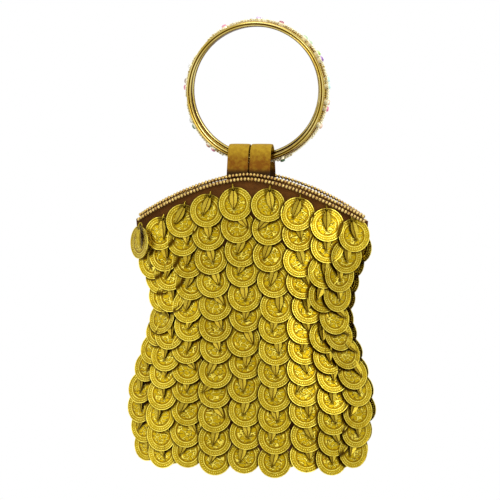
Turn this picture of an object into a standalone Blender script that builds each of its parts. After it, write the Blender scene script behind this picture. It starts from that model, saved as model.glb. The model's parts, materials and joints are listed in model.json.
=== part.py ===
"""Evening phone pouch covered with rows of imitation coins, hung by two suede loops from three bangles.

Metres, +Z up, front towards -Y. The origin is the inside top of the carrier bangle, where the hand holds it.
"""

import math
import random

import bmesh
import bpy
import numpy as np
from mathutils import Matrix, Vector

# Bangles
BANGLE_BORE = 0.0655
CARRIER_BORE = 0.0637
BANGLE_WIDTH = 0.0022
BANGLE_WALL = 0.0028
BANGLE_PITCH = 0.0026
BANGLE_STEPS = 40
BANGLE_SIDES = 6
JEWELLED_SIDES = 4
SETTING_HEIGHT = 0.0015
SETTING_WIDTH = 0.0018
SETTING_LENGTH = 0.0032
SETTING_SINK = 0.0006
SETTING_SIDES = 6
SETTING_TAPER_RATIO = 0.62
# The jewelled bangle's settings: clock angle of each group in degrees, and its length in single settings.
SETTING_GROUPS = (
    (-140, 2), (-116, 2), (-84, 2), (-69, 1), (-27, 1), (4, 2), (20, 1),
    (45, 2), (61, 2), (83, 2), (101, 2), (118, 1), (170, 2),
)

# Loops
LOOP_WIDTH = 0.0107
LOOP_SPLIT = 0.0008
LOOP_STRAP = 0.0011
LOOP_END = 0.0100
LOOP_BEND_STEPS = 12
BUNDLE_CLEARANCE = 0.0004
POUCH_OFFSET = -0.0025

# Pouch outline
MOUTH_BELOW_HINGE = 0.0095
MOUTH_WIDTH = 0.1185
MOUTH_DEPTH = 0.0240
ARCH_RISE = 0.0225
ARCH_POWER = 1.65
WAIST_NARROWING = 0.0225
WAIST_DROP = 0.0670
HIP_WIDENING = 0.0005
HIP_DROP = 0.1150
HIP_DEPTH = 0.0300
BASE_NARROWING = 0.0090
BASE_CORNER_RISE = 0.0100
BASE_CORNER_POWER = 4
BASE_ROUNDING = 0.0180
POUCH_HEIGHT = 0.1440
SECTION_POWER = 3.2
SECTION_SAMPLES = 41

# Cloth
CLOTH = 0.0008
LINING = 0.0005
LINING_SIDE_INSET = 0.0024
LINING_BASE_INSET = 0.0030
LINING_HEM = 0.0015
GAP = 0.0003
PANEL_COLUMNS = 10
PANEL_ROWS = 10
LINING_COLUMNS = 8
LINING_ROWS = 8
# Grid rows lie closer together towards the rounded bottom.
ROW_SPREAD_POWER = 1.4

# Bead strings: one along the top of the mouth's edge, one in front just below it
BEAD_DIAMETER = 0.0018
BEAD_DROP = 0.0013
BEAD_END_INSET = 0.0012
BEAD_STRING_STEPS = 20

# Coins
COIN_DIAMETER = 0.0170
COIN_THICKNESS = 0.0006
COIN_ROWS = 12
COIN_PITCH = 0.0148
COIN_ARC_STEPS = 4
COIN_STAGGER_RATIO = 0.25
# The stagger grows from none in the first row to its full size in this many rows.
COIN_STAGGER_ROWS = 4
COIN_SHIFT = 0.0004
COIN_OVERLAP_GAP = 0.0009
COIN_EDGE_INSET = 0.0002
FIRST_ROW_DROP = 0.0126
LAST_ROW_RISE = 0.0036
# How far a row's coins reach below its middle line, in rows.
ROW_REACH_RATIO = 1.05
ROW_END_ANGLE = 18
ROW_LEVEL_STEPS = 4
COIN_SEED = 11

COIN_RADIUS = COIN_DIAMETER / 2
SEAM_HALF = GAP / 2 + CLOTH
WAIST_WIDTH = MOUTH_WIDTH - WAIST_NARROWING
HIP_WIDTH = MOUTH_WIDTH + HIP_WIDENING
BASE_WIDTH = MOUTH_WIDTH - BASE_NARROWING
APEX = -MOUTH_BELOW_HINGE
CORNER = APEX - ARCH_RISE
WAIST = APEX - WAIST_DROP
HIP = APEX - HIP_DROP
BASE = APEX - POUCH_HEIGHT


def bottom_of_ring(radius, centre, x):
    """Height of a ring's lower half at x, for a ring in the XZ plane."""
    return centre - math.sqrt(radius * radius - x * x)


def loop_bend():
    """(height, inner radius) of the loops' bend, which goes round every bangle and its settings."""
    reach = abs(POUCH_OFFSET) + LOOP_SPLIT / 2 + LOOP_WIDTH
    top = bottom_of_ring(CARRIER_BORE / 2, -CARRIER_BORE / 2, reach)
    low = -BANGLE_BORE - BANGLE_WALL - SETTING_HEIGHT
    top_half = BANGLE_WIDTH / 2
    low_half = BANGLE_PITCH + SETTING_WIDTH / 2
    middle = (top**2 - low**2 + top_half**2 - low_half**2) / (2 * (top - low))
    side = bottom_of_ring(BANGLE_BORE / 2, -BANGLE_BORE / 2, reach)
    side_half = BANGLE_PITCH + BANGLE_WIDTH / 2
    radius = max(math.hypot(top_half, top - middle), math.hypot(side_half, side - middle))
    return middle, radius + BUNDLE_CLEARANCE


HINGE_HEIGHT, LOOP_RADIUS = loop_bend()


def ease_through(knots, level):
    """Value at a level between knots (level, value) that run downwards, level at each knot."""
    if level >= knots[0][0]:
        return knots[0][1]
    for (upper, a), (lower, b) in zip(knots, knots[1:]):
        if level >= lower:
            share = (upper - level) / (upper - lower)
            return a + (b - a) * share * share * (3 - 2 * share)
    return knots[-1][1]


def half_width(level):
    return ease_through(
        ((CORNER, MOUTH_WIDTH / 2), (WAIST, WAIST_WIDTH / 2), (HIP, HIP_WIDTH / 2), (BASE, BASE_WIDTH / 2)),
        level,
    )


def half_bulge(level):
    """How far a panel's middle stands in front of its side seams."""
    return ease_through(((APEX, MOUTH_DEPTH / 2), (HIP, HIP_DEPTH / 2)), level) - SEAM_HALF


def mouth_level(t):
    return APEX - ARCH_RISE * abs(t) ** ARCH_POWER


def mouth_slope(t):
    return 2 * ARCH_RISE * ARCH_POWER * abs(t) ** (ARCH_POWER - 1) / MOUTH_WIDTH


def base_level(t):
    return BASE + BASE_CORNER_RISE * min(abs(t), 1) ** BASE_CORNER_POWER


def panel_point(t, level, shut=1.0, side_inset=0.0, inset=0.0, seam=SEAM_HALF):
    """A point of the front panel: t runs from -1 to 1 between the seams, shut is 0 at a sewn edge."""
    x = t * (half_width(level) - side_inset)
    bulge = (half_bulge(level) + SEAM_HALF - inset - seam) * (1 - abs(t) ** SECTION_POWER)
    return Vector((x, -seam - shut * bulge, level))


def rounding(height):
    """How far the panel has opened at this height over its bottom seam."""
    share = 1 - min(max(height / BASE_ROUNDING, 0), 1)
    return math.sqrt(1 - share * share)


def coin_surface(t, level, stand_off=0.0):
    """A point on the smooth surface that the coins follow, moved outwards by stand_off."""
    across = panel_point(t + CLOTH, level) - panel_point(t - CLOTH, level)
    up = panel_point(t, level + CLOTH) - panel_point(t, level - CLOTH)
    return panel_point(t, level) + across.cross(up).normalized() * stand_off


def material(name, colour, metallic, roughness):
    made = bpy.data.materials.new(name)
    made.use_nodes = True
    shader = made.node_tree.nodes["Principled BSDF"]
    shader.inputs["Base Color"].default_value = (*colour, 1.0)
    shader.inputs["Metallic"].default_value = metallic
    shader.inputs["Roughness"].default_value = roughness
    return made


def add_object(name, mesh, parts, finish, parent=None, location=(0, 0, 0)):
    placed = bpy.data.objects.new(name, mesh)
    placed.location = location
    placed.parent = parent
    mesh.materials.append(finish)
    parts.objects.link(placed)
    return placed


def mesh_from(bm, name, smooth=True):
    mesh = bpy.data.meshes.new(name)
    bm.to_mesh(mesh)
    bm.free()
    if smooth:
        mesh.shade_smooth()
    return mesh


def add_thickness(placed, thickness, offset):
    wall = placed.modifiers.new("Wall", "SOLIDIFY")
    wall.thickness = thickness
    wall.offset = offset
    wall.use_quality_normals = True


def ring_section(bore, wall, width, sides):
    """Section of a bangle at +X, from the top down its outer side and back up inside."""
    middle = bore / 2 + wall / 2
    turns = [math.pi / 2 - 2 * math.pi * (k + 0.5) / sides for k in range(sides)]
    reach = math.cos(math.pi / sides)
    return [(middle + wall / 2 * math.cos(a) / reach, width / 2 * math.sin(a) / reach) for a in turns]


def bangle(name, bore, lane, sides, parts, finish):
    """A turned ring that stands in the XZ plane, with its origin at its centre."""
    section = ring_section(bore, BANGLE_WALL, BANGLE_WIDTH, sides)
    bm = bmesh.new()
    points = [bm.verts.new((x, 0, z)) for x, z in section]
    for k, point in enumerate(points):
        bm.edges.new((point, points[(k + 1) % len(points)]))
    mesh = mesh_from(bm, name)
    ring = add_object(name, mesh, parts, finish, location=(0, lane, -bore / 2))
    ring.rotation_euler.x = math.pi / 2
    turn = ring.modifiers.new("Turn", "SCREW")
    turn.axis = "Z"
    turn.angle = 2 * math.pi
    turn.screw_offset = 0
    turn.steps = turn.render_steps = BANGLE_STEPS
    turn.use_merge_vertices = True
    turn.merge_threshold = 0.00001
    return ring


def settings(ring, bore, cutters):
    """Six-sided tapered settings in groups round the outside, joined into the ring."""
    bm = bmesh.new()
    outer = bore / 2 + BANGLE_WALL
    depth = SETTING_HEIGHT + SETTING_SINK
    for clock, count in SETTING_GROUPS:
        turn = Matrix.Rotation(math.radians(90 - clock), 4, "Z")
        out = Matrix.Translation((outer + depth / 2 - SETTING_SINK, 0, 0))
        upright = Matrix.Rotation(math.pi / 2, 4, "Y")
        stretch = Matrix.Diagonal((SETTING_WIDTH / 2, SETTING_LENGTH * count / 2, 1, 1))
        bmesh.ops.create_cone(
            bm, cap_ends=True, segments=SETTING_SIDES, radius1=1.0, radius2=SETTING_TAPER_RATIO,
            depth=depth, matrix=turn @ out @ upright @ stretch,
        )
    studs = bpy.data.objects.new("settings_cutter", mesh_from(bm, "settings_cutter", smooth=False))
    studs.location = ring.location
    studs.rotation_euler = ring.rotation_euler
    studs.hide_render = True
    studs.display_type = "WIRE"
    cutters.objects.link(studs)
    join = ring.modifiers.new("Settings", "BOOLEAN")
    join.operation = "UNION"
    join.solver = "EXACT"
    join.object = studs


def loop_route():
    """The strap's middle line in the YZ plane: up inside the front panel, over the bangles and down again."""
    bend = LOOP_RADIUS + LOOP_STRAP / 2
    inside = MOUTH_DEPTH / 2 - CLOTH - LINING - 2 * GAP - LOOP_STRAP / 2
    over = [math.pi * k / LOOP_BEND_STEPS for k in range(LOOP_BEND_STEPS + 1)]
    rise = [(-inside, APEX - LOOP_END), (-inside, APEX - GAP)]
    arch = [(-bend * math.cos(a), bend * math.sin(a)) for a in over]
    fall = [(-y, z) for y, z in reversed(rise)]
    return rise + arch + fall


def loop(name, side, hinge, parts, finish):
    """One strap folded over the bangles. side is -1 for the left one and 1 for the right one."""
    start = side * (LOOP_SPLIT + LOOP_WIDTH) / 2 - LOOP_WIDTH / 2
    bm = bmesh.new()
    points = [bm.verts.new((start, y, z)) for y, z in loop_route()]
    edges = [bm.edges.new(pair) for pair in zip(points, points[1:])]
    swept = bmesh.ops.extrude_edge_only(bm, edges=edges)["geom"]
    moved = [v for v in swept if isinstance(v, bmesh.types.BMVert)]
    bmesh.ops.translate(bm, verts=moved, vec=(LOOP_WIDTH, 0, 0))
    bmesh.ops.recalc_face_normals(bm, faces=bm.faces)
    add_thickness(add_object(name, mesh_from(bm, name), parts, finish, hinge), LOOP_STRAP, 0.0)


def shaped_grid(columns, rows, place):
    """A grid whose points go where place(across, up) says, both running from 0 to 1."""
    bm = bmesh.new()
    bmesh.ops.create_grid(bm, x_segments=columns, y_segments=rows, size=0.5)
    for vert in bm.verts:
        vert.co = place(vert.co.x + 0.5, vert.co.y + 0.5)
    return bm


def panel(name, hinge, parts, finish):
    """One cloth panel, rounded towards its bottom seam, with the arched mouth as its upper edge."""

    def place(across, up):
        t = 2 * across - 1
        low, high = base_level(t), mouth_level(t)
        level = low + (high - low) * up**ROW_SPREAD_POWER
        return panel_point(t, level, rounding(level - low))

    mesh = mesh_from(shaped_grid(PANEL_COLUMNS, PANEL_ROWS, place), name)
    made = add_object(name, mesh, parts, finish, hinge)
    add_thickness(made, CLOTH, -1.0)
    return made


def lining(name, hinge, parts, finish):
    """The lining behind one panel, a gap inside it all over."""
    inset = CLOTH + GAP
    seam = GAP / 2 + LINING

    def place(across, up):
        t = 2 * across - 1
        low, high = base_level(t) + LINING_BASE_INSET, mouth_level(t) - LINING_HEM
        level = low + (high - low) * up**ROW_SPREAD_POWER
        return panel_point(t, level, rounding(level - low), LINING_SIDE_INSET, inset, seam)

    mesh = mesh_from(shaped_grid(LINING_COLUMNS, LINING_ROWS, place), name)
    made = add_object(name, mesh, parts, finish, hinge)
    add_thickness(made, LINING, -1.0)
    return made


def on_edge(t):
    """The middle of a bead that sits on top of the mouth's edge."""
    lift = (GAP + BEAD_DIAMETER / 2) * math.hypot(1, mouth_slope(t))
    return panel_point(t, mouth_level(t)) + Vector((0, CLOTH / 2, lift))


def below_edge(t):
    """The middle of a bead that lies on the panel's face just below the mouth's edge."""
    return coin_surface(t, mouth_level(t) - BEAD_DROP, GAP + BEAD_DIAMETER / 2)


def bead_string(name, place, hinge, parts, finish):
    """A string of seed beads along the mouth, as one cord of the beads' diameter; place gives its points."""
    curve = bpy.data.curves.new(name, "CURVE")
    curve.dimensions = "3D"
    curve.bevel_depth = BEAD_DIAMETER / 2
    curve.bevel_resolution = 1
    curve.use_fill_caps = True
    route = curve.splines.new("POLY")
    route.points.add(BEAD_STRING_STEPS)
    end = 1 - 2 * BEAD_END_INSET / MOUTH_WIDTH
    for k, point in enumerate(route.points):
        t = end * (2 * k / BEAD_STRING_STEPS - 1)
        point.co = (*place(t), 1)
    return add_object(name, curve, parts, finish, hinge)


def arc_lengths(level):
    """Half the panel's section at a level: (t, length from its middle to t)."""
    t = np.linspace(0, 1, SECTION_SAMPLES)
    run = half_width(level)
    rise = half_bulge(level) * SECTION_POWER * t ** (SECTION_POWER - 1)
    speed = np.hypot(run, rise)
    length = np.concatenate([[0], np.cumsum((speed[1:] + speed[:-1]) / 2 * np.diff(t))])
    return t, length


def across_at(length, level):
    """The t at this length from the middle of the panel, carried on straight past the seam."""
    t, lengths = arc_lengths(level)
    beyond = max(abs(length) - lengths[-1], 0)
    pace = (t[-1] - t[-2]) / (lengths[-1] - lengths[-2])
    return math.copysign(np.interp(abs(length), lengths, t) + beyond * pace, length)


def first_row_level(t):
    return mouth_level(t) - FIRST_ROW_DROP * math.hypot(1, mouth_slope(t))


def row_pitch(t):
    return (first_row_level(t) - base_level(t) - LAST_ROW_RISE) / (COIN_ROWS - 1)


def row_at(t, level):
    """The row, as a number that runs on between rows, whose middle line passes through this point."""
    return (first_row_level(t) - level) / row_pitch(t)


def level_of(row, length):
    """Height of a row's middle line at this length from the middle of the panel."""
    level = first_row_level(0) - row * row_pitch(0)
    for _ in range(ROW_LEVEL_STEPS):
        t = across_at(length, level)
        level = first_row_level(t) - row * row_pitch(t)
    return level


def row_path(row):
    """Half a row's middle line, to its last coin: (length from the middle, distance along the line)."""
    inset = COIN_RADIUS + COIN_EDGE_INSET
    end = arc_lengths(level_of(row, 0))[1][-1] - inset
    end = arc_lengths(level_of(row, end))[1][-1] - inset
    lengths = np.linspace(0, end, SECTION_SAMPLES)
    levels = [level_of(row, length) for length in lengths]
    steps = np.hypot(np.diff(lengths), np.diff(levels))
    return lengths, np.concatenate([[0], np.cumsum(steps)])


def coin_centres(row, chance):
    """(length from the middle, level) of each coin of a row, sewn a little closer towards the seams."""
    lengths, distances = row_path(row)
    end = distances[-1]
    each_side = math.ceil(end / COIN_PITCH)
    lead = COIN_PITCH * each_side / end
    fade = min(row / COIN_STAGGER_ROWS, 1)
    centres = []
    for k in range(-each_side, each_side + 1):
        share = k / each_side
        distance = end * (lead * share + (1 - lead) * share**3)
        if abs(k) < each_side:
            distance += chance.uniform(-COIN_SHIFT, COIN_SHIFT)
        length = math.copysign(np.interp(abs(distance), distances, lengths), distance)
        level = level_of(row, length)
        stagger = fade * COIN_STAGGER_RATIO * row_pitch(across_at(length, level)) * (k % 2)
        centres.append((length, level - stagger - chance.uniform(0, 2 * COIN_SHIFT)))
    return centres


def meeting_points(a, b):
    """Where two overlapping coin outlines cross: (upper, lower)."""
    ax, ay = a
    bx, by = b
    apart = math.hypot(bx - ax, by - ay)
    half = math.sqrt(COIN_RADIUS**2 - apart * apart / 4)
    mx, my = (ax + bx) / 2, (ay + by) / 2
    sx, sy = -(by - ay) / apart * half, (bx - ax) / apart * half
    return (mx + sx, my + sy), (mx - sx, my - sy)


def row_outline(centres):
    """Pairs (upper point, lower point) along a row of overlapping coins, from left to right."""
    end = math.radians(ROW_END_ANGLE)

    def rim(centre, angle):
        return centre[0] + COIN_RADIUS * math.cos(angle), centre[1] + COIN_RADIUS * math.sin(angle)

    def angle_of(centre, point):
        return math.atan2(point[1] - centre[1], point[0] - centre[0])

    crossings = [meeting_points(a, b) for a, b in zip(centres, centres[1:])]
    first = (rim(centres[0], math.pi - end), rim(centres[0], math.pi + end))
    last = (rim(centres[-1], end), rim(centres[-1], -end))
    stations = [first]
    for centre, left, right in zip(centres, [first, *crossings], [*crossings, last]):
        up_from, up_to = angle_of(centre, left[0]), angle_of(centre, right[0])
        low_from, low_to = angle_of(centre, left[1]), angle_of(centre, right[1])
        if up_from < -math.pi / 2:
            up_from += 2 * math.pi
        if low_from > math.pi / 2:
            low_from -= 2 * math.pi
        for k in range(1, COIN_ARC_STEPS):
            share = k / COIN_ARC_STEPS
            upper = rim(centre, up_from + (up_to - up_from) * share)
            lower = rim(centre, low_from + (low_to - low_from) * share)
            stations.append((upper, lower))
        stations.append(right)
    return stations


def coin_row(name, row, seed, hinge, parts, finish):
    """One row of coins, joined where they overlap and laid over the row below like roof tiles."""
    stations = row_outline(coin_centres(row, random.Random(seed)))
    shingle = COIN_THICKNESS + COIN_OVERLAP_GAP

    def place(across, up):
        pair = stations[round(across * (len(stations) - 1))]
        length, level = pair[0] if up > 0.5 else pair[1]
        t = across_at(length, level)
        stand_off = GAP + shingle * max(row_at(t, level) - row + ROW_REACH_RATIO, 0)
        return coin_surface(t, level, stand_off)

    bm = shaped_grid(len(stations) - 1, 1, place)
    made = add_object(name, mesh_from(bm, name, smooth=False), parts, finish, hinge)
    add_thickness(made, COIN_THICKNESS, 1.0)
    return made


def empty(name, location, parts):
    made = bpy.data.objects.new(name, None)
    made.empty_display_size = 0.01
    made.location = location
    parts.objects.link(made)
    return made


def build():
    for old in list(bpy.data.objects):
        bpy.data.objects.remove(old, do_unlink=True)
    parts = bpy.data.collections.new("phone_pouch")
    cutters = bpy.data.collections.new("cutters")
    bpy.context.scene.collection.children.link(parts)
    bpy.context.scene.collection.children.link(cutters)

    brass = material("polished_brass", (0.60, 0.38, 0.10), 1.0, 0.28)
    filigree = material("jewelled_brass", (0.62, 0.45, 0.16), 1.0, 0.38)
    suede = material("tan_suede", (0.42, 0.22, 0.03), 0.0, 0.95)
    cloth = material("brown_cloth", (0.10, 0.02, 0.006), 0.0, 0.9)
    satin = material("golden_lining", (0.45, 0.22, 0.05), 0.0, 0.6)
    beads = material("gold_beads", (0.75, 0.60, 0.22), 0.8, 0.3)
    coins = material("coin_gold", (0.55, 0.44, 0.05), 0.9, 0.4)

    bangle("bangle_carrier", CARRIER_BORE, 0.0, BANGLE_SIDES, parts, brass)
    bangle("bangle_front", BANGLE_BORE, -BANGLE_PITCH, BANGLE_SIDES, parts, brass)
    jewelled = bangle("bangle_jewelled", BANGLE_BORE, BANGLE_PITCH, JEWELLED_SIDES, parts, filigree)
    settings(jewelled, BANGLE_BORE, cutters)

    hinge = empty("pouch_hinge", (POUCH_OFFSET, 0, HINGE_HEIGHT), parts)
    loop("loop_left", -1, hinge, parts, suede)
    loop("loop_right", 1, hinge, parts, suede)
    for face, turn in (("front", 0.0), ("back", math.pi)):
        made = [
            panel(f"panel_{face}", hinge, parts, cloth),
            lining(f"lining_{face}", hinge, parts, satin),
            bead_string(f"bead_string_{face}_upper", on_edge, hinge, parts, beads),
            bead_string(f"bead_string_{face}_lower", below_edge, hinge, parts, beads),
        ]
        for row in range(COIN_ROWS):
            seed = COIN_SEED + row + (COIN_ROWS if turn else 0)
            made.append(coin_row(f"coin_row_{face}_{row + 1:02d}", row, seed, hinge, parts, coins))
        for piece in made:
            piece.rotation_euler.z = turn


build()
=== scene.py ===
import json
import math
import random

import bmesh
import bpy
import numpy as np
from bpy.props import FloatProperty, FloatVectorProperty, IntProperty, PointerProperty
from bpy.types import Operator, Panel, PropertyGroup
from mathutils import Matrix, Vector


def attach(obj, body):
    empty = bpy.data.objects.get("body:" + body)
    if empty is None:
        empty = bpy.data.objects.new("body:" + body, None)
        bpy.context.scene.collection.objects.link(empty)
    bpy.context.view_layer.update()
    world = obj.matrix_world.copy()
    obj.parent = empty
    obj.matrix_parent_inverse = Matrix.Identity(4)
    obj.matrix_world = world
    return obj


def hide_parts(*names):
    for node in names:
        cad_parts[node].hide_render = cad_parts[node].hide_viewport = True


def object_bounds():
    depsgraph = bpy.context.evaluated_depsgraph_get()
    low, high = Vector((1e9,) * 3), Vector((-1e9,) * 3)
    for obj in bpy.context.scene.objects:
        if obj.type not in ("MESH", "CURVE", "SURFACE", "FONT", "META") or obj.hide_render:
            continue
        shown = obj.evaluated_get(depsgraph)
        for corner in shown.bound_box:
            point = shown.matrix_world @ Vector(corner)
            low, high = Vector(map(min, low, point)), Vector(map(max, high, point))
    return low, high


bl_info = {
    "name": "Coin pouch on bangles",
    "version": (1, 0, 0),
    "blender": (4, 5, 0),
    "location": "View3D > Sidebar > Coin Pouch",
    "description": "Coins, leaf drops, seed beads, cloth, suede loops and bangles for the phone pouch",
    "category": "Object",
}

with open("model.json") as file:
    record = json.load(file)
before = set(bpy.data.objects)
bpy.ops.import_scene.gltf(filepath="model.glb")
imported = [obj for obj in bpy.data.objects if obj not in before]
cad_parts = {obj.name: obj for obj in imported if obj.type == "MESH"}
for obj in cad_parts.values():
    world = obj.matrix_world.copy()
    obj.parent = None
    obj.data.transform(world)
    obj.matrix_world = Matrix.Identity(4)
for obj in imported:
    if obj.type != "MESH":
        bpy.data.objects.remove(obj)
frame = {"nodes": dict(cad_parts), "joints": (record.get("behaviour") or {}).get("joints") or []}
cad_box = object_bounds()

# The pouch's cut, as in the solids: lengths from the loops' bend downwards.
HINGE = Vector(next(j for j in frame["joints"] if j["name"] == "pouch_swing")["pos_m"])
GAP = 0.0003
CLOTH = 0.0008
SEAM_HALF = GAP / 2 + CLOTH
APEX = -0.0095
ARCH_RISE = 0.0225
ARCH_POWER = 1.65
CORNER = APEX - ARCH_RISE
WAIST = APEX - 0.0670
HIP = APEX - 0.1150
BASE = APEX - 0.1440
MOUTH_WIDTH = 0.1185
WAIST_WIDTH = 0.0960
HIP_WIDTH = 0.1190
BASE_WIDTH = 0.1095
MOUTH_DEPTH = 0.0240
HIP_DEPTH = 0.0300
BASE_CORNER_RISE = 0.0100
BASE_CORNER_POWER = 4
SECTION_POWER = 3.2
SECTION_SAMPLES = 41
BEAD_DIAMETER = 0.0018
BEAD_DROP = 0.0013
BEAD_END_INSET = 0.0012
COIN_ROWS = 12
COIN_PITCH = 0.0148
COIN_STAGGER = 0.25
COIN_STAGGER_ROWS = 4
COIN_DRIFT = -0.0055
COIN_SPREAD = 1.06
CORNER_SAG = 0.0035
COIN_SHIFT = 0.0004
COIN_EDGE_INSET = 0.0002
FIRST_ROW_DROP = 0.0126
LAST_ROW_RISE = 0.0036
ROW_REACH = 1.05
ROW_LEVEL_STEPS = 4
COIN_SEED = 11

BANGLE_BORE = 0.0655
CARRIER_BORE = 0.0637
BANGLE_WALL = 0.0028
BANGLE_LANE = 0.0026

FACES = (("front", 0.0), ("back", math.pi))


# Sizes and colours.
def metres(name, description, default):
    return FloatProperty(
        name=name, description=description, default=default, unit="LENGTH", precision=5
    )


def degrees(name, description, default):
    return FloatProperty(
        name=name, description=description, default=math.radians(default), subtype="ANGLE"
    )


def colour(name, description, default):
    return FloatVectorProperty(
        name=name, description=description, default=default, size=3, subtype="COLOR", min=0.0, max=1.0
    )


class CoinLook(PropertyGroup):
    diameter: metres("Diameter", "Across each struck coin", 0.0170)
    thickness: metres("Thickness", "Of the coin at its rim", 0.00045)
    sides: IntProperty(name="Sides", description="Straight sides round a coin", default=24, min=12)
    rim: metres("Rim", "Width of the raised smooth rim", 0.00065)
    sink: metres("Sink", "Depth of the field below the rim", 0.00016)
    lift: metres("Lift", "How far each row stands over the row below", 0.0016)
    side_gap: metres("Side gap", "Air between a coin and the one at its left", 0.0002)
    roll: degrees("Roll", "Largest turn of a coin on its thread", 12)
    stray: metres("Stray", "How far a coin strays from its place in the row", 0.0008)
    # Polish: worn high points of the relief, brightened further by a painted highlight.
    polish: colour("Polish", "Highest points of the relief", (0.84, 0.69, 0.095))
    gold: colour("Gold", "Flat metal", (0.50, 0.345, 0.008))
    tarnish: colour("Tarnish", "Flat metal of the most worn coins", (0.37, 0.235, 0.003))
    # Hollow: painted shade in the hollows and on the slopes of the relief.
    hollow: colour("Hollow", "Metal in the hollows of the relief", (0.15, 0.060, 0.001))
    # Shade: painted shadow where the next coins lie over a coin, and round its leaf.
    shade: colour("Shade", "Grime where the next coins lie over it", (0.050, 0.018, 0.0003))


class LeafLook(PropertyGroup):
    length: metres("Length", "Of the folded leaf drop", 0.0086)
    width: metres("Width", "Across the leaf at its widest", 0.0042)
    thickness: metres("Thickness", "Of the leaf's sheet", 0.0002)
    fold: metres("Fold", "How far its sides stand up beside the crease", 0.0010)
    gold: colour("Gold", "Flat of the leaf", (0.66, 0.51, 0.05))
    # Crease: painted shade down the fold, round the edges and on the left half; also the colour of the
    # leaf's dark specks.
    crease: colour("Crease", "Down in the fold", (0.07, 0.026, 0.0008))


class BeadLook(PropertyGroup):
    diameter: metres("Diameter", "Of a seed bead", 0.0020)
    length: metres("Length", "Of a seed bead along its thread", 0.00135)
    pitch: metres("Pitch", "From bead to bead", 0.0018)
    gold: colour("Gold", "Foil of the beads", (0.62, 0.45, 0.13))
    thread: colour("Thread", "Between the beads", (0.07, 0.015, 0.005))


class ClothLook(PropertyGroup):
    thread_pitch: metres("Thread pitch", "From thread to thread in the weave", 0.0005)
    seam: metres("Seam", "Thickness of the cord along the sewn edges", 0.0012)
    outside: colour("Outside", "Brown outer cloth", (0.100, 0.034, 0.003))
    inside: colour("Inside", "Golden lining", (0.50, 0.26, 0.034))


class SuedeLook(PropertyGroup):
    nap: metres("Nap", "Size of the suede's mottling", 0.0022)
    # Light and dark suede mix by mottling and by painted light that makes it lighter upwards.
    light: colour("Light", "Brushed suede", (0.52, 0.325, 0.018))
    dark: colour("Dark", "Suede brushed the other way", (0.22, 0.075, 0.002))
    # Painted shadow on the suede where it goes down into the mouth.
    mouth_shade: colour("Deep", "Suede inside the mouth", (0.02, 0.007, 0.001))


class BangleLook(PropertyGroup):
    steps: IntProperty(name="Steps", description="Segments round a bangle", default=144, min=48)
    # Crest: painted highlight along each wire.
    crest_highlight: colour("Crest", "Brightest line of a wire", (0.88, 0.78, 0.32))
    brass: colour("Brass", "Polished wire", (0.47, 0.315, 0.030))
    # Groove: painted shade between the wires, on the inside of the ring and in the twisted lines.
    groove: colour("Groove", "Between the wires", (0.06, 0.016, 0.0006))
    grain: metres("Grain", "Size of a grain on the jewelled bangle", 0.0013)
    grain_step: FloatProperty(
        name="Grain step", description="Degrees from grain to grain", default=2.4, min=0.5
    )
    rope: metres("Rope", "Thickness of the wire round the jewelled bangle", 0.0011)
    pale: colour("Pale", "Grains of the jewelled bangle", (0.94, 0.88, 0.62))


class StageLook(PropertyGroup):
    floor_drop: metres("Floor drop", "From the pouch's lowest point to the floor", 0.35)
    floor_size: metres("Floor size", "Across the floor", 2.0)
    distance: metres("Camera distance", "From the camera to the pouch", 1.2)
    azimuth: degrees("Azimuth", "Camera's turn to the right", 10)
    elevation: degrees("Elevation", "Camera's height above level", 4)
    floor: colour("Floor", "Pale floor", (0.80, 0.80, 0.80))


LOOKS = (
    ("coin_look", CoinLook),
    ("leaf_look", LeafLook),
    ("bead_look", BeadLook),
    ("cloth_look", ClothLook),
    ("suede_look", SuedeLook),
    ("bangle_look", BangleLook),
    ("stage_look", StageLook),
)


# The pouch's surface.
def ease_through(knots, level):
    if level >= knots[0][0]:
        return knots[0][1]
    for (upper, a), (lower, b) in zip(knots, knots[1:]):
        if level >= lower:
            share = (upper - level) / (upper - lower)
            return a + (b - a) * share * share * (3 - 2 * share)
    return knots[-1][1]


def half_width(level):
    knots = ((CORNER, MOUTH_WIDTH), (WAIST, WAIST_WIDTH), (HIP, HIP_WIDTH), (BASE, BASE_WIDTH))
    return ease_through(knots, level) / 2


def half_bulge(level):
    return ease_through(((APEX, MOUTH_DEPTH / 2), (HIP, HIP_DEPTH / 2)), level) - SEAM_HALF


def mouth_level(t):
    return APEX - ARCH_RISE * abs(t) ** ARCH_POWER


def mouth_slope(t):
    return 2 * ARCH_RISE * ARCH_POWER * abs(t) ** (ARCH_POWER - 1) / MOUTH_WIDTH


def base_level(t):
    return BASE + BASE_CORNER_RISE * min(abs(t), 1) ** BASE_CORNER_POWER


def panel_point(t, level):
    bulge = half_bulge(level) * (1 - abs(t) ** SECTION_POWER)
    return Vector((t * half_width(level), -SEAM_HALF - bulge, level))


def surface_frame(t, level):
    """(point, across, up, outwards) on the surface that beads and coins follow."""
    across = (panel_point(t + CLOTH, level) - panel_point(t - CLOTH, level)).normalized()
    up = panel_point(t, level + CLOTH) - panel_point(t, level - CLOTH)
    out = across.cross(up).normalized()
    return panel_point(t, level), across, out.cross(across), out


def arc_lengths(level):
    t = np.linspace(0, 1, SECTION_SAMPLES)
    speed = np.hypot(half_width(level), half_bulge(level) * SECTION_POWER * t ** (SECTION_POWER - 1))
    return t, np.concatenate([[0], np.cumsum((speed[1:] + speed[:-1]) / 2 * np.diff(t))])


def across_at(distance, level):
    t, lengths = arc_lengths(level)
    beyond = max(abs(distance) - lengths[-1], 0)
    pace = (t[-1] - t[-2]) / (lengths[-1] - lengths[-2])
    return math.copysign(np.interp(abs(distance), lengths, t) + beyond * pace, distance)


def first_row_level(t):
    return mouth_level(t) - FIRST_ROW_DROP * math.hypot(1, mouth_slope(t))


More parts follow.
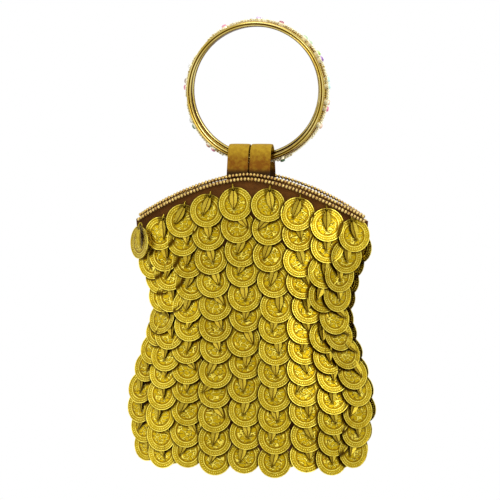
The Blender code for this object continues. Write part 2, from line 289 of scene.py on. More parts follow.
def row_pitch(t):
    return (first_row_level(t) - base_level(t) - LAST_ROW_RISE) / (COIN_ROWS - 1)


def level_of(row, distance):
    level = first_row_level(0) - row * row_pitch(0)
    for _ in range(ROW_LEVEL_STEPS):
        t = across_at(distance, level)
        level = first_row_level(t) - row * row_pitch(t)
    return level


def coin_centres(row, chance, radius):
    """(length from the middle, level) of each coin of a row, as the solids have them."""
    inset = radius + COIN_EDGE_INSET
    end = arc_lengths(level_of(row, 0))[1][-1] - inset
    end = arc_lengths(level_of(row, end))[1][-1] - inset
    lengths = np.linspace(0, end, SECTION_SAMPLES)
    levels = [level_of(row, x) for x in lengths]
    distances = np.concatenate([[0], np.cumsum(np.hypot(np.diff(lengths), np.diff(levels)))])
    end = distances[-1]
    each_side = math.ceil(end / COIN_PITCH)
    lead = COIN_PITCH * each_side / end
    fade = min(row / COIN_STAGGER_ROWS, 1)
    centres = []
    for k in range(-each_side, each_side + 1):
        share = k / each_side
        distance = end * (lead * share + (1 - lead) * share**3)
        if abs(k) < each_side:
            distance += chance.uniform(-COIN_SHIFT, COIN_SHIFT)
        along = math.copysign(np.interp(abs(distance), distances, lengths), distance)
        level = level_of(row, along)
        stagger = fade * COIN_STAGGER * row_pitch(across_at(along, level)) * (k % 2)
        centres.append((along, level - stagger - chance.uniform(0, 2 * COIN_SHIFT)))
    return centres


def strayed_centres(row, seed, look):
    """A row's coin centres with their irregularities; the upper rows' middle coins drift to the left."""
    nudge = random.Random(seed + 1000)
    centres = coin_centres(row, random.Random(seed), look.diameter / 2)
    reach = centres[-1][0]
    drift = COIN_DRIFT * max(1 - row / COIN_STAGGER_ROWS, 0)
    strayed = []
    for along, level in centres:
        level += mouth_level(across_at(along + drift, level)) - mouth_level(across_at(along, level))
        share = abs(along / reach)
        level -= CORNER_SAG * share**4 * (row / (COIN_ROWS - 1)) ** 3
        along = along * COIN_SPREAD + drift * (1 - share**2) + nudge.uniform(-look.stray, look.stray)
        strayed.append((along, level + nudge.uniform(-look.stray, look.stray)))
    return strayed


def side_tilts(spots, look):
    """How far each coin leans right, which lays its left edge over its left neighbour's right edge."""
    radius = look.diameter / 2
    pairs = []
    for (here, _, _, out), (there, _, _, next_out) in zip(spots, spots[1:]):
        half = (there - here).length / 2
        bend = out.angle(next_out)
        pairs.append((look.thickness + look.side_gap + bend * max(radius - half, 0)) / (2 * half))
    return [(a + b) / 2 for a, b in zip(pairs[:1] + pairs, pairs + pairs[-1:])]


def coin_places(row, seed, look):
    """A place for each coin of a row, tilted over the row below and over its left neighbour."""
    nudge = random.Random(seed + 2000)
    centres = strayed_centres(row, seed, look)
    spots = [surface_frame(across_at(along, level), level) for along, level in centres]
    places = []
    for (along, level), (point, across, up, out), tilt in zip(centres, spots, side_tilts(spots, look)):
        t = across_at(along, level)
        run = (first_row_level(t) - level) / row_pitch(t)
        stand_off = GAP + look.lift * (run - row + ROW_REACH)
        lean = look.lift / row_pitch(t) + nudge.uniform(-0.02, 0.05)
        z = (out + up * lean + across * (tilt + nudge.uniform(-0.01, 0.02))).normalized()
        x = up.cross(z).normalized()
        roll = Matrix.Rotation(nudge.uniform(-look.roll, look.roll), 4, "Z")
        places.append(Matrix.Translation(point + out * stand_off) @ facing(x, z) @ roll)
    return places


def facing(x, z):
    """The turn whose X and Z axes are x and z."""
    return Matrix((x, z.cross(x), z)).transposed().to_4x4()


def hung(turn):
    """From the pouch's own coordinates to where it hangs."""
    return Matrix.Translation(HINGE) @ Matrix.Rotation(turn, 4, "Z")


# Modelling helpers.
def deselect():
    if bpy.context.mode != "OBJECT":
        bpy.ops.object.mode_set(mode="OBJECT")
    bpy.ops.object.select_all(action="DESELECT")


def bring_in(piece):
    """Puts a new object into the scene, selected and active."""
    bpy.context.scene.collection.objects.link(piece)
    piece.select_set(True)
    bpy.context.view_layer.objects.active = piece


def edit(kind="FACE"):
    bpy.ops.object.mode_set(mode="EDIT")
    bpy.context.tool_settings.mesh_select_mode = (kind == "VERT", kind == "EDGE", kind == "FACE")


def done():
    bpy.ops.object.mode_set(mode="OBJECT")


def pick(kind, test):
    """Selects the faces or verts of the mesh being edited for which test holds."""
    bpy.ops.mesh.select_all(action="DESELECT")
    bm = bmesh.from_edit_mesh(bpy.context.object.data)
    for part in getattr(bm, kind):
        if test(part):
            part.select_set(True)
    bm.select_flush(True)
    bmesh.update_edit_mesh(bpy.context.object.data)


def apply_modifiers(piece):
    bpy.context.view_layer.objects.active = piece
    for modifier in list(piece.modifiers):
        bpy.ops.object.modifier_apply(modifier=modifier.name)


def smooth(piece, angle=math.radians(40)):
    deselect()
    piece.select_set(True)
    bpy.context.view_layer.objects.active = piece
    bpy.ops.object.shade_smooth_by_angle(angle=angle)


def lay_plan(piece, width, height):
    """A UV map that looks straight down on the piece, 1 unit wide and high."""
    mesh = piece.data
    plan = mesh.uv_layers.get("plan") or mesh.uv_layers.new(name="plan")
    for other in [u for u in mesh.uv_layers if u.name != "plan"]:
        mesh.uv_layers.remove(other)
        plan = mesh.uv_layers["plan"]
    for loop in mesh.loops:
        at = mesh.vertices[loop.vertex_index].co
        plan.data[loop.index].uv = (at.x / width + 0.5, at.y / height + 0.5)


def set_trait(mesh, name, value):
    """One value, a number or three numbers, for the whole mesh, as an attribute for its material."""
    kind, key = ("FLOAT", "value") if np.ndim(value) == 0 else ("FLOAT_VECTOR", "vector")
    layer = mesh.attributes.new(name, kind, "POINT")
    layer.data.foreach_set(key, np.tile(np.float32(value), len(mesh.vertices)))


def gather(name, master, places, traits):
    """Copies of the master at the places, each with its own mesh and traits, joined into one piece."""
    deselect()
    twins = []
    for place, own_traits in zip(places, traits):
        twin = bpy.data.objects.new(name, master.data.copy())
        twin.data.transform(place)
        for trait, value in own_traits.items():
            set_trait(twin.data, trait, value)
        bring_in(twin)
        twins.append(twin)
    bpy.context.view_layer.objects.active = twins[0]
    if len(twins) > 1:
        bpy.ops.object.join()
    twins[0].name = twins[0].data.name = name
    return twins[0]


def put_away(*masters):
    for master in masters:
        bpy.data.objects.remove(master, do_unlink=True)


def copy_of_solid(node, name):
    """A copy of a solid, with its loose triangles merged and made quads again."""
    deselect()
    made = bpy.data.objects.new(name, frame["nodes"][node].data.copy())
    made.data.materials.clear()
    bring_in(made)
    edit("VERT")
    bpy.ops.mesh.select_all(action="SELECT")
    bpy.ops.mesh.remove_doubles(threshold=0.00002)
    bpy.ops.mesh.tris_convert_to_quads(face_threshold=math.radians(30), shape_threshold=math.radians(60))
    done()
    if made.data.attributes.get("custom_normal"):
        made.data.attributes.remove(made.data.attributes["custom_normal"])
    return made


def soften_edges(piece, width, levels):
    """Rounds the sharp edges a little and subdivides the rest."""
    bpy.context.view_layer.objects.active = piece
    edit("EDGE")
    bpy.ops.mesh.select_all(action="DESELECT")
    bpy.ops.mesh.edges_select_sharp(sharpness=math.radians(50))
    bpy.ops.mesh.bevel(offset=width, segments=1, affect="EDGES")
    done()
    finer = piece.modifiers.new("Finer", "SUBSURF")
    finer.levels = finer.render_levels = levels
    apply_modifiers(piece)
    smooth(piece, math.radians(60))


def finish_piece(piece, body, finish, nodes=()):
    piece.data.materials.clear()
    piece.data.materials.append(finish)
    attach(piece, body)
    if nodes:
        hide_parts(*nodes)


# Shader helpers.
class Graph:
    """Short names for the nodes of a material or a node group."""

    def __init__(self, tree):
        self.tree = tree

    def add(self, kind, ins=None, **settings):
        node = self.tree.nodes.new(kind)
        for key, value in settings.items():
            setattr(node, key, value)
        for key, value in (ins or {}).items():
            self.feed(node.inputs[key], value)
        return node

    def feed(self, socket, value):
        if isinstance(value, bpy.types.NodeSocket):
            self.tree.links.new(value, socket)
        elif socket.type == "RGBA":
            socket.default_value = (*value, 1.0)
        else:
            socket.default_value = value

    def sum(self, operation, a, b=0.0, c=0.0, clamp=False):
        node = self.add("ShaderNodeMath", operation=operation, use_clamp=clamp)
        for socket, value in zip(node.inputs, (a, b, c)):
            self.feed(socket, value)
        return node.outputs[0]

    def times(self, a, b, clamp=False):
        return self.sum("MULTIPLY", a, b, clamp=clamp)

    def plus(self, a, b, clamp=False):
        return self.sum("ADD", a, b, clamp=clamp)

    def minus(self, a, b, clamp=False):
        return self.sum("SUBTRACT", a, b, clamp=clamp)

    def most(self, a, b):
        return self.sum("MAXIMUM", a, b)

    def scaled(self, value, factor, offset, clamp=False):
        return self.sum("MULTIPLY_ADD", value, factor, offset, clamp)

    def far(self, x, y):
        """Distance from the origin."""
        return self.sum("SQRT", self.plus(self.times(x, x), self.times(y, y)))

    def band(self, value, centre, half):
        """1 on the centre, falling to 0 at half away from it."""
        away = self.sum("ABSOLUTE", self.minus(value, centre))
        return self.minus(1.0, self.sum("DIVIDE", away, half), clamp=True)

    def step(self, value, low, high):
        """0 at low and 1 at high, smooth between."""
        ends = {0: value, 1: low, 2: high, 3: 0.0, 4: 1.0}
        return self.add("ShaderNodeMapRange", ends, interpolation_type="SMOOTHSTEP").outputs[0]

    def mix(self, factor, a, b, blend="MIX"):
        node = self.add("ShaderNodeMix", data_type="RGBA", blend_type=blend)
        self.feed(node.inputs[0], factor)
        self.feed(node.inputs[6], a)
        self.feed(node.inputs[7], b)
        return node.outputs[2]

    def noise(self, vector, scale, detail=2.0, roughness=0.5):
        ins = {"Vector": vector, "Scale": scale, "Detail": detail, "Roughness": roughness}
        return self.add("ShaderNodeTexNoise", ins).outputs[0]

    def where(self):
        return self.add("ShaderNodeTexCoord").outputs["Object"]

    def plan(self):
        return self.add("ShaderNodeUVMap", uv_map="plan").outputs[0]

    def trait(self, name, output="Fac"):
        return self.add("ShaderNodeAttribute", attribute_name=name).outputs[output]

    def split(self, vector):
        return self.add("ShaderNodeSeparateXYZ", {0: vector}).outputs

    def radii(self, plan):
        """A plan's x and y, from -1 to 1."""
        at = self.split(plan)
        return self.scaled(at[0], 2.0, -1.0), self.scaled(at[1], 2.0, -1.0)

    def paint(self, base, roughness=None, height=None, depth=0.0):
        """Gives the shader its colour, roughness and relief, and returns the material."""
        self.feed(self.shader.inputs["Base Color"], base)
        if roughness is not None:
            self.feed(self.shader.inputs["Roughness"], roughness)
        if height is not None:
            relief = self.add("ShaderNodeBump", {"Height": height, "Distance": depth})
            self.feed(self.shader.inputs["Normal"], relief.outputs[0])
        return self.material


def group(name, inputs, outputs):
    """An empty node group: (tree, graph, input sockets, output sockets); no default means a vector."""
    tree = bpy.data.node_groups.new(name, "ShaderNodeTree")
    for title, default in inputs.items():
        kind = "NodeSocketVector" if default is None else "NodeSocketFloat"
        socket = tree.interface.new_socket(title, in_out="INPUT", socket_type=kind)
        if default is not None:
            socket.default_value = default
    for title in outputs:
        tree.interface.new_socket(title, in_out="OUTPUT", socket_type="NodeSocketFloat")
    graph = Graph(tree)
    entry = graph.add("NodeGroupInput")
    leave = graph.add("NodeGroupOutput")
    return tree, graph, entry.outputs, leave.inputs


def place_group(graph, tree, ins):
    node = graph.add("ShaderNodeGroup", node_tree=tree)
    for key, value in ins.items():
        graph.feed(node.inputs[key], value)
    return node.outputs


def finish_of(name, metallic, roughness, **sockets):
    """The graph of a new material, with its shader's constants set."""
    made = bpy.data.materials.new(name)
    made.use_nodes = True
    graph = Graph(made.node_tree)
    graph.material = made
    graph.shader = made.node_tree.nodes["Principled BSDF"]
    graph.shader.inputs["Metallic"].default_value = metallic
    graph.shader.inputs["Roughness"].default_value = roughness
    for key, value in sockets.items():
        graph.shader.inputs[key.replace("_", " ")].default_value = value
    return graph


def own(name, make):
    """The node group of this name, made on its first use."""
    return bpy.data.node_groups.get(name) or make(name)


def make_wear(name):
    """Fine scratches and dull patches of handled metal, from the piece's own coordinates."""
    inputs = {"Vector": None, "Patch": 180.0, "Fine": 1800.0}
    tree, g, ins, out = group(name, inputs, ("Dull", "Grain"))
    patch = g.noise(ins["Vector"], ins["Patch"], 3.0, 0.6)
    g.feed(out["Dull"], g.step(patch, 0.42, 0.68))
    g.feed(out["Grain"], g.noise(ins["Vector"], ins["Fine"], 2.0, 0.6))
    return tree


def metal_wear(g, where, **scales):
    return place_group(g, own("metal_wear", make_wear), {"Vector": where, **scales})


def make_weave(name):
    """Plain weave: threads over and under each other."""
    tree, g, ins, out = group(name, {"Vector": None, "Pitch": 0.0005}, ("Height", "Fleck"))
    at = g.split(ins["Vector"])
    turn = g.sum("DIVIDE", math.pi, ins["Pitch"])
    warp = g.sum("SINE", g.times(at[0], turn))
    weft = g.sum("SINE", g.times(at[2], turn))
    over = g.times(warp, weft)
    wobble = g.noise(ins["Vector"], 900.0, 2.0)
    g.feed(out["Height"], g.plus(g.times(over, 0.5), wobble))
    g.feed(out["Fleck"], g.noise(ins["Vector"], 260.0, 3.0, 0.6))
    return tree


# A coin's hole above its middle, as a share of the coin's radius.
HOLE_HEIGHT = 0.86


def make_strike(name):
    """Relief of a struck coin: rim, milled dashes, a circle, broken strokes inside it, and the hole.

    The plan runs from 0 to 1 across the coin, and the radii below are shares of the coin's radius.
    """
    inputs = {"Plan": None, "Turn": 0.0, "Dashes": 40.0}
    tree, g, ins, out = group(name, inputs, ("Height", "Moat", "Hole"))
    x, y = g.radii(ins["Plan"])
    r = g.far(x, y)
    turn = g.sum("ARCTAN2", y, x)
    rim = g.step(r, 0.92, 0.95)
    teeth = g.step(g.sum("COSINE", g.times(turn, ins["Dashes"])), -0.4, 0.5)
    milled = g.times(g.step(g.band(r, 0.84, 0.07), 0.0, 0.4), teeth)
    circles = g.step(g.band(r, 0.70, 0.045), 0.05, 0.5)
    apart = g.times(ins["Turn"], 37.0)
    flat = g.add("ShaderNodeCombineXYZ", {0: x, 1: g.times(y, 1.5), 2: apart}).outputs[0]
    spin = {"Vector": flat, "Angle": g.times(ins["Turn"], 40.0)}
    spun = g.add("ShaderNodeVectorRotate", spin, rotation_type="Z_AXIS").outputs[0]
    edges = {"Vector": spun, "Scale": 3.0}
    cells = g.add("ShaderNodeTexVoronoi", edges, feature="DISTANCE_TO_EDGE").outputs[0]
    broken = g.step(g.noise(spun, 4.5, 1.0), 0.34, 0.44)
    strokes = g.times(g.step(cells, 0.15, 0.06), broken)
    field = g.times(strokes, g.step(r, 0.59, 0.54))
    raised = g.most(g.most(rim, milled), g.most(circles, field))
    g.feed(out["Height"], raised)
    g.feed(out["Moat"], g.step(g.band(r, 0.62, 0.04), 0.0, 0.6))
    g.feed(out["Hole"], g.step(g.far(x, g.minus(y, HOLE_HEIGHT)), 0.085, 0.06))
    return tree


def self_shadow(g, x, y):
    """Painted shadow round the leaf, which hangs from the coin's hole at the angle of the "swing" trait.
    """
    swing = g.trait("swing")
    down = g.minus(0.8, y)
    sine, cosine = g.sum("SINE", swing), g.sum("COSINE", swing)
    along = g.plus(g.times(down, cosine), g.times(x, sine))
    across = g.minus(g.times(x, cosine), g.times(down, sine))
    taper = g.times(g.step(along, 0.45, 1.15), 0.22)
    beside = g.step(g.plus(g.sum("ABSOLUTE", across), taper), 0.40, 0.24)
    return g.times(beside, g.step(along, 1.30, 1.12))


def coin_finish(look):
    """Worn gold metal, with painted shadows where the coins named by its traits lie over it."""
    g = finish_of("struck_coin_gold", 1.0, 0.3)
    plan = g.plan()
    where = g.where()
    tone = g.trait("tone")
    strike = place_group(g, own("struck_relief", make_strike), {"Plan": plan, "Turn": tone})
    wear = metal_wear(g, where)
    high = strike["Height"]
    flat = g.mix(tone, look.gold, look.tarnish)
    flat = g.mix(g.times(wear["Dull"], 0.35), flat, look.tarnish)
    # Polished high points, brightened further by a painted highlight, in patches.
    rubbed = g.scaled(g.step(g.noise(where, 330.0, 2.0, 0.6), 0.3, 0.6), 0.7, 0.3)
    base = g.mix(g.times(high, rubbed), flat, look.polish)
    # Painted shade along the slopes of the relief and in the moat.
    slope = g.times(high, g.minus(1.0, high))
    relief_edge_shade = g.times(slope, 3.9, clamp=True)
    moat = g.times(strike["Moat"], 0.8)
    base = g.mix(g.most(relief_edge_shade, moat), base, look.hollow)
    x, y = g.radii(plan)
    # Painted shadow where the neighbours above and beside lie over the coin.
    overlap_shade = 0.0
    for trait in ("above", "above_too", "beside"):
        cover = g.trait(trait, "Vector")
        middle = g.split(cover)
        away = g.far(g.minus(x, middle[0]), g.minus(y, middle[1]))
        under = g.times(g.step(away, 1.22, 1.03), g.step(away, 0.7, 0.95))
        overlap_shade = g.most(overlap_shade, under)
    base = g.mix(g.times(overlap_shade, 0.95), base, look.shade)
    # Painted shadow of the leaf on the coin.
    base = g.mix(g.times(self_shadow(g, x, y), 0.8), base, look.shade)
    # The hole is painted, not cut: nearly black, as painted shade in its opening.
    base = g.mix(strike["Hole"], base, (0.004, 0.002, 0.001))
    rough = g.scaled(wear["Grain"], 0.22, 0.2)
    return g.paint(base, rough, g.scaled(wear["Grain"], 0.25, high), 0.00032)


def leaf_finish(look):
    g = finish_of("folded_leaf_gold", 1.0, 0.30)
    plan = g.plan()
    tone = g.trait("tone")
    wear = metal_wear(g, g.where(), Fine=2600.0)
    across = g.split(plan)[0]
    # Painted shade down the crease and round the leaf's edges.
    crease = g.step(g.band(across, 0.5, 0.08), 0.1, 0.8)
    edge = g.step(g.sum("ABSOLUTE", g.minus(across, 0.5)), 0.40, 0.46)
    gold = g.mix(g.times(tone, 0.6), look.gold, (0.40, 0.28, 0.012))
    # Painted shade: the left half darker than the right.
    gold = g.mix(g.step(across, 0.45, 0.62), g.mix(0.35, gold, look.crease), gold)
    base = g.mix(g.most(crease, g.times(edge, 0.8)), gold, look.crease)
    base = g.mix(g.times(g.step(wear["Grain"], 0.55, 0.35), 0.45), base, look.crease)
    return g.paint(base, g.scaled(wear["Grain"], 0.2, 0.32), wear["Grain"], 0.00012)


def bead_finish(look):
    g = finish_of("foil_seed_beads", 0.9, 0.22, Coat_Weight=0.4)
    wear = metal_wear(g, g.where(), Patch=520.0)
    base = g.mix(wear["Dull"], look.gold, (0.34, 0.18, 0.03))
    return g.paint(base, g.scaled(wear["Grain"], 0.15, 0.15), wear["Grain"], 0.00005)


def thread_finish(look):
    g = finish_of("brown_thread", 0.0, 0.8)
    fleck = g.noise(g.where(), 1500.0, 2.0)
    return g.paint(g.mix(fleck, look.thread, (0.16, 0.04, 0.012)), None, fleck, 0.00005)


def cloth_finish(name, colour_value, fleck_colour, look, roughness, sheen):
    g = finish_of(name, 0.0, roughness, Sheen_Weight=sheen, Specular_IOR_Level=0.2)
    at = {"Vector": g.where(), "Pitch": look.thread_pitch}
    weave = place_group(g, own("plain_weave", make_weave), at)
    base = g.mix(g.step(weave["Fleck"], 0.35, 0.7), colour_value, fleck_colour)
    shade = g.scaled(weave["Height"], 0.35, 0.65, clamp=True)
    base = g.mix(shade, tuple(0.4 * c for c in colour_value), base)
    return g.paint(base, None, weave["Height"], 0.00008)


# Levels: painted light makes the suede lighter upwards through the first two, and painted shade makes it
# darker downwards through the others.
SUEDE_PAINTED_LIGHT = (-0.0690, -0.0605)
SUEDE_PAINTED_SHADE = (-0.0708, -0.0738)


def suede_finish(look):
    g = finish_of("tan_suede", 0.0, 0.95, Sheen_Weight=0.05, Specular_IOR_Level=0.15)
    where = g.where()
    mottle = g.noise(where, 1.0 / look.nap, 3.0, 0.6)
    nap = g.noise(where, 3200.0, 2.0, 0.7)
    height = g.split(where)[2]
    # Painted light: the suede lighter upwards, mixed with its mottling.
    lit = g.step(height, *SUEDE_PAINTED_LIGHT)
    spots = g.times(g.step(mottle, 0.2, 0.8), 0.6)
    tone = g.plus(spots, g.scaled(lit, 0.8, -0.2), clamp=True)
    base = g.mix(tone, look.dark, look.light)
    # Painted shade: darker downwards where the suede goes into the mouth.
    base = g.mix(g.step(height, *SUEDE_PAINTED_SHADE), base, look.mouth_shade)
    base = g.mix(g.times(nap, 0.25), base, (0.20, 0.09, 0.01))
    return g.paint(base, None, g.plus(g.times(mottle, 2.0), nap), 0.00010)


def ring_radius(g, where, centre_z):
    """(distance from a bangle's axis, coordinates, height over the axis)."""
    at = g.split(where)
    z = g.minus(at[2], centre_z)
    return g.far(at[0], z), at, z


def brass_finish(name, look, bore, hatch=0.0):
    """Polished brass wires with painted highlights and painted shade between; hatch sets the twisted
    lines' painted shade.
    """
    g = finish_of(name, 1.0, 0.2)
    where = g.where()
    wear = metal_wear(g, where, Patch=120.0, Fine=1200.0)
    radius, at, z = ring_radius(g, where, -bore / 2)
    middle = bore / 2 + BANGLE_WALL / 2
    # Painted shade between the wires and on the inside of the ring.
    groove = g.step(g.band(radius, middle, 0.0005), 0.1, 0.8)
    inner = g.minus(1.0, g.step(radius, bore / 2 + 0.0001, bore / 2 + 0.00045))
    base = g.mix(g.times(wear["Dull"], 0.6), look.brass, (0.22, 0.10, 0.006))
    # Painted highlight along each wire's crest, patchy round the ring.
    off_middle = g.sum("ABSOLUTE", g.minus(radius, middle))
    crest_highlight = g.step(g.band(off_middle, BANGLE_WALL / 4, 0.0004), 0.2, 0.9)
    glint = g.step(g.noise(where, 60.0, 2.0), 0.35, 0.62)
    shine = g.times(crest_highlight, g.scaled(glint, 0.75, 0.25))
    base = g.mix(shine, base, look.crest_highlight)
    base = g.mix(g.most(groove, g.times(inner, 0.95)), base, look.groove)
    height = wear["Grain"]
    if hatch:
        turn = g.sum("ARCTAN2", at[0], z)
        skew = g.times(radius, 2600.0)
        lines = g.sum("SINE", g.plus(g.times(turn, 190.0), skew))
        # Painted shade in the twisted lines.
        base = g.mix(g.times(g.step(lines, 0.0, -0.9), hatch), base, look.groove)
        height = g.plus(g.times(height, 0.3), lines)
    return g.paint(base, g.scaled(wear["Grain"], 0.16, 0.12), height, 0.00006)


def grain_finish(look):
    g = finish_of("pale_gold_grains", 0.7, 0.35)
    patch = g.step(g.noise(g.where(), 500.0, 2.0), 0.28, 0.45)
    return g.paint(g.mix(patch, look.brass, look.pale))


def gem_finish(name, colour_value, foil):
    g = finish_of(name, 0.0, 0.06, Coat_Weight=0.8, Specular_IOR_Level=0.8)
    cloud = g.noise(g.where(), 900.0, 1.0)
    return g.paint(g.mix(g.step(cloud, 0.35, 0.65), colour_value, foil))


# Coins and leaves.
def strike_coin(look):
    """One blank: a raised smooth rim round a sunk field."""
    deselect()
    bpy.ops.mesh.primitive_cylinder_add(
        vertices=look.sides, radius=look.diameter / 2, depth=look.thickness,
        location=(0, 0, look.thickness / 2),
    )
    coin = bpy.context.object
    edit("FACE")
    pick("faces", lambda f: f.normal.z > 0.9)
    bpy.ops.mesh.inset(thickness=look.rim, depth=0)
    bpy.ops.mesh.inset(thickness=look.rim / 3, depth=-look.sink)
    done()
    lay_plan(coin, look.diameter, look.diameter)
    smooth(coin, math.radians(20))
    return coin


# How far a leaf hangs below the coin's hole, how it leans back, and the radius of a coin's tie ring.
LEAF_DROP = 0.0008
LEAF_LEAN = -0.02
TIE_RADIUS = 0.0011

# Along the leaf from its hole down to its tip: height in half lengths, width share, share of the fold.
LEAF_STATIONS = (
    (1.0, 0.45, 0.6), (0.6, 0.80, 1.0), (0.2, 1.0, 1.0),
    (-0.2, 0.88, 1.0), (-0.6, 0.58, 0.8), (-1.0, 0.14, 0.2),
)


def fold_leaf(look):
    """One leaf drop: a strip folded along its middle, narrow at the hole and pointed below."""
    deselect()
    bpy.ops.mesh.primitive_grid_add(x_subdivisions=2, y_subdivisions=5, size=1.0)
    leaf = bpy.context.object
    leaf.scale = (look.width, look.length, 1)
    bpy.ops.object.transform_apply(location=False, rotation=False, scale=True)
    half = look.length / 2
    edit("VERT")
    for height, width, rise in LEAF_STATIONS:
        pick("verts", lambda v: abs(v.co.y / half - height) < 0.05)
        bpy.ops.transform.resize(value=(width, 1, 1))
        pick("verts", lambda v: abs(v.co.y / half - height) < 0.05 and abs(v.co.x) > look.width / 40)
        bpy.ops.transform.translate(value=(0, 0, rise * look.fold))
    done()
    wall = leaf.modifiers.new("Wall", "SOLIDIFY")
    wall.thickness = look.thickness
    wall.offset = 1.0
    apply_modifiers(leaf)
    lay_plan(leaf, look.width, look.length)
    leaf.data.transform(Matrix.Translation((0, -half, 0)))
    smooth(leaf, math.radians(25))
    return leaf


def wind_ring():
    """The little wire ring that ties a first-row coin to the beads."""
    deselect()
    bpy.ops.mesh.primitive_torus_add(
        major_segments=12, minor_segments=5, major_radius=TIE_RADIUS, minor_radius=0.00026,
        rotation=(0, math.pi / 2, 0),
    )
    ring = bpy.context.object
    bpy.ops.object.transform_apply(location=False, rotation=True, scale=False)
    edit("VERT")
    pick("verts", lambda v: v.co.y > 0.0008)
    bpy.ops.transform.translate(value=(0, 0.0005, 0))
    done()
    lay_plan(ring, TIE_RADIUS, 0.004)
    smooth(ring)
    return ring


# The first row's leftmost coin in front: how far it is moved and turned, and its leaf's swing.
FREE_COIN_SHIFT = Vector((-0.0030, -0.0018, 0.0024))
FREE_COIN_TURN = math.radians(-24)
FREE_LEAF_SWING = 0.3


def swing_free(place):
    """The same coin hanging clear of the panel, half turned to the side."""
    middle = Matrix.Translation(place.translation)
    turned = middle @ Matrix.Rotation(FREE_COIN_TURN, 4, "Z") @ middle.inverted()
    return Matrix.Translation(FREE_COIN_SHIFT) @ turned @ place


# Where a neighbour that isn't there is put, in radii.
FAR_AWAY = (9.0, 9.0, 0.0)


def neighbours(k, places, over, look):
    """Where the coins that lie over coin k have their middles, in coin k's own plane and in radii."""
    home = places[k].inverted()

    def seen(other):
        at = home @ other.translation / (look.diameter / 2)
        return at.x, at.y, 0.0

    above = sorted((seen(p) for p in over), key=lambda at: math.hypot(at[0], at[1]))[:2]
    above += [FAR_AWAY] * (2 - len(above))
    beside = seen(places[k + 1]) if k + 1 < len(places) else FAR_AWAY
    return {"above": above[0], "above_too": above[1], "beside": beside}


def own_traits(row, chance):
    """How worn a coin is, least in the first and lowest rows, and how its leaf swings."""
    worn = 0.35 if row == 0 else 1.0 - 0.7 * row / (COIN_ROWS - 1)
    tone = chance.random() * worn
    swing = chance.gauss(0, 0.2) if chance.random() < 0.7 else chance.uniform(-0.75, 0.75)
    return {"tone": tone, "swing": swing}


class POUCH_OT_coins(Operator):
    """Twelve overlapping rows of struck coins on each panel, each coin with its folded leaf"""

    bl_idname = "pouch.coins"
    bl_label = "Coins and Leaves"

    def execute(self, context):
        look, leaf_look = context.scene.coin_look, context.scene.leaf_look
        coin, leaf, ring = strike_coin(look), fold_leaf(leaf_look), wind_ring()
        gold, foil = coin_finish(look), leaf_finish(leaf_look)
        hole = look.diameter / 2 * HOLE_HEIGHT
        for face, turn in FACES:
            over = []
            for row in range(COIN_ROWS):
                seed = COIN_SEED + row + (COIN_ROWS if turn else 0)
                places = coin_places(row, seed, look)
                free = row == 0 and face == "front"
                if free:
                    places[0] = swing_free(places[0])
                chance = random.Random(seed + 500)
                traits = [
                    {**own_traits(row, chance), **neighbours(k, places, over, look)}
                    for k in range(len(places))
                ]
                if free:
                    traits[0].update(beside=FAR_AWAY, swing=FREE_LEAF_SWING)
                over, hanging = places, [hung(turn) @ p for p in places]
                piece = gather(f"coins_{face}_{row + 1:02d}", coin, hanging, traits)
                finish_piece(piece, "pouch", gold, [f"coin_row_{face}_{row + 1:02d}"])
                leaves = []
                at = Matrix.Translation((0, hole - LEAF_DROP, look.thickness - look.sink * 0.6))
                for place, trait in zip(hanging, traits):
                    swing = Matrix.Rotation(trait["swing"], 4, "Z")
                    leaves.append(place @ at @ swing @ Matrix.Rotation(LEAF_LEAN, 4, "X"))
                drops = gather(f"leaves_{face}_{row + 1:02d}", leaf, leaves, traits)
                finish_piece(drops, "pouch", foil)
                if row == 0:
                    tie = Matrix.Translation((0, hole + TIE_RADIUS, look.thickness / 2))
                    ties = [place @ tie for place in hanging]
                    rings = gather(f"tie_rings_{face}", ring, ties, traits)
                    finish_piece(rings, "pouch", foil)
        put_away(coin, leaf, ring)
        return {"FINISHED"}


# Beads.
def roll_bead(look):
    """One seed bead: a short tube with rounded ends, its hole along Z."""
    deselect()
    bpy.ops.mesh.primitive_cylinder_add(vertices=8, radius=look.diameter / 2, depth=look.length)
    bead = bpy.context.object
    edit("EDGE")
    bpy.ops.mesh.select_all(action="DESELECT")
    bpy.ops.mesh.edges_select_sharp(sharpness=math.radians(70))
    bpy.ops.mesh.bevel(offset=look.length * 0.36, segments=2, affect="EDGES")
    done()
    lay_plan(bead, look.diameter, look.diameter)
    smooth(bead, math.radians(80))
    return bead


def on_edge(t):
    """(middle, outwards) of a bead that sits on top of the mouth's edge."""
    lift = BEAD_DIAMETER / 2 * math.hypot(1, mouth_slope(t))
    point, _, _, out = surface_frame(t, mouth_level(t))
    return point + Vector((0, CLOTH / 2, lift)), out


def below_edge(t):
    """(middle, outwards) of a bead that lies on the cloth just below the mouth's edge."""
    point, _, _, out = surface_frame(t, mouth_level(t) - BEAD_DROP)
    return point + out * (GAP + BEAD_DIAMETER / 2), out


BEAD_LINES = (("upper", on_edge), ("lower", below_edge))
THREAD_RADIUS = 0.00045
LINE_SAMPLES = 241


